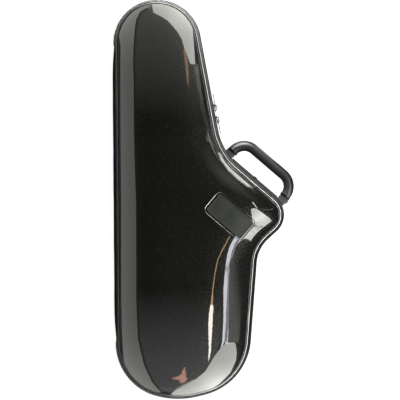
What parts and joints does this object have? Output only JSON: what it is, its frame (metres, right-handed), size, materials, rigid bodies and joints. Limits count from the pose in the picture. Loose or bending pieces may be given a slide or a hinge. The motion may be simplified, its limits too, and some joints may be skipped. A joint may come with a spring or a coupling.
{
  "type": "alto saxophone case",
  "caption": "Shaped hard case for an alto saxophone: glossy zipped shells on a fabric hinge, rubber carrying handle, strap rings and a fitted plush foam bed.",
  "frame": {"origin": "middle of the back shell's flat panel, on which the case lies", "axes": "+Y to the neck end, +X to the bell side with the handle, +Z out through the lid"},
  "size_m": [0.2988, 0.6505, 0.1726],
  "materials": {
    "graphite_gloss": "clear-coated dark graphite with a fine metallic fleck",
    "black_piping": "satin extruded piping",
    "black_tape": "woven black nylon",
    "black_coil": "moulded nylon coil",
    "grey_webbing": "ribbed dark grey webbing",
    "black_rubber": "smooth satin rubber",
    "badge_rubber": "matt grey-green rubber, bare",
    "plush_foam": "short black plush over foam",
    "black_nickel": "black nickel plate"
  },
  "bodies": {
    "base": {"back_shell": "graphite_gloss", "back_edge_piping": "black_piping", "back_foam_liner": "plush_foam", "back_hinge_flap": "black_tape", "back_zipper_coil": "black_coil", "back_zipper_tape": "black_tape", "handle_base_strip": "grey_webbing", "handle_pin_lower": "black_nickel", "handle_pin_upper": "black_nickel", "handle_rivet": "black_nickel", "strap_anchor_lower": "black_nickel", "strap_anchor_upper": "black_nickel", "strap_rivet_lower_1": "black_nickel", "strap_rivet_lower_2": "black_nickel", "strap_rivet_upper_1": "black_nickel", "strap_rivet_upper_2": "black_nickel", "zipper_stop_bow": "black_nickel", "zipper_stop_neck": "black_nickel"},
    "lid": {"front_shell": "graphite_gloss", "front_edge_piping": "black_piping", "front_foam_liner": "plush_foam", "front_hinge_flap": "black_tape", "front_zipper_coil": "black_coil", "front_zipper_tape": "black_tape", "badge_plate": "badge_rubber"},
    "handle": {"handle_grip": "black_rubber", "handle_loop_lower": "grey_webbing", "handle_loop_upper": "grey_webbing"},
    "slider_upper": {"zipper_slider_upper": "black_nickel"},
    "slider_lower": {"zipper_slider_lower": "black_nickel"},
    "pull_upper": {"zipper_pull_upper": "black_nickel"},
    "pull_lower": {"zipper_pull_lower": "black_nickel"},
    "ring_upper": {"strap_ring_upper": "black_nickel"},
    "ring_lower": {"strap_ring_lower": "black_nickel"}
  },
  "joints": [
    {"name": "lid_hinge", "type": "hinge", "parent": "base", "child": "lid", "pos_m": [-0.14035, 0.01177, 0.086], "axis": [0.0077, -1, 0], "range_deg": [0, 180]},
    {"name": "handle_pivot", "type": "hinge", "parent": "base", "child": "handle", "pos_m": [0.09174, 0.03361, 0.0608], "axis": [0.76, -0.6499, 0], "range_deg": [-70, 50]},
    {"name": "slider_upper_run", "type": "slide", "parent": "base", "child": "slider_upper", "axis": [-0.184, 0.9829, 0], "range_m": [0, 0.11]},
    {"name": "slider_lower_run", "type": "slide", "parent": "base", "child": "slider_lower", "axis": [0.184, -0.9829, 0], "range_m": [0, 0.009]},
    {"name": "pull_upper_hinge", "type": "hinge", "parent": "slider_upper", "child": "pull_upper", "pos_m": [0.02804, 0.14965, 0.086], "axis": [0, 0, -1], "range_deg": [0, 165]},
    {"name": "pull_lower_hinge", "type": "hinge", "parent": "slider_lower", "child": "pull_lower", "pos_m": [0.0316, 0.13062, 0.086], "axis": [0, 0, 1], "range_deg": [0, 165]},
    {"name": "ring_upper_hinge", "type": "hinge", "parent": "base", "child": "ring_upper", "pos_m": [0.00978, 0.19867, 0.04], "axis": [0.184, -0.9829, 0], "range_deg": [-8, 120]},
    {"name": "ring_lower_hinge", "type": "hinge", "parent": "base", "child": "ring_lower", "pos_m": [0.08073, -0.20937, 0.04], "axis": [-0.075, -0.9972, 0], "range_deg": [-8, 120]}
  ]
}
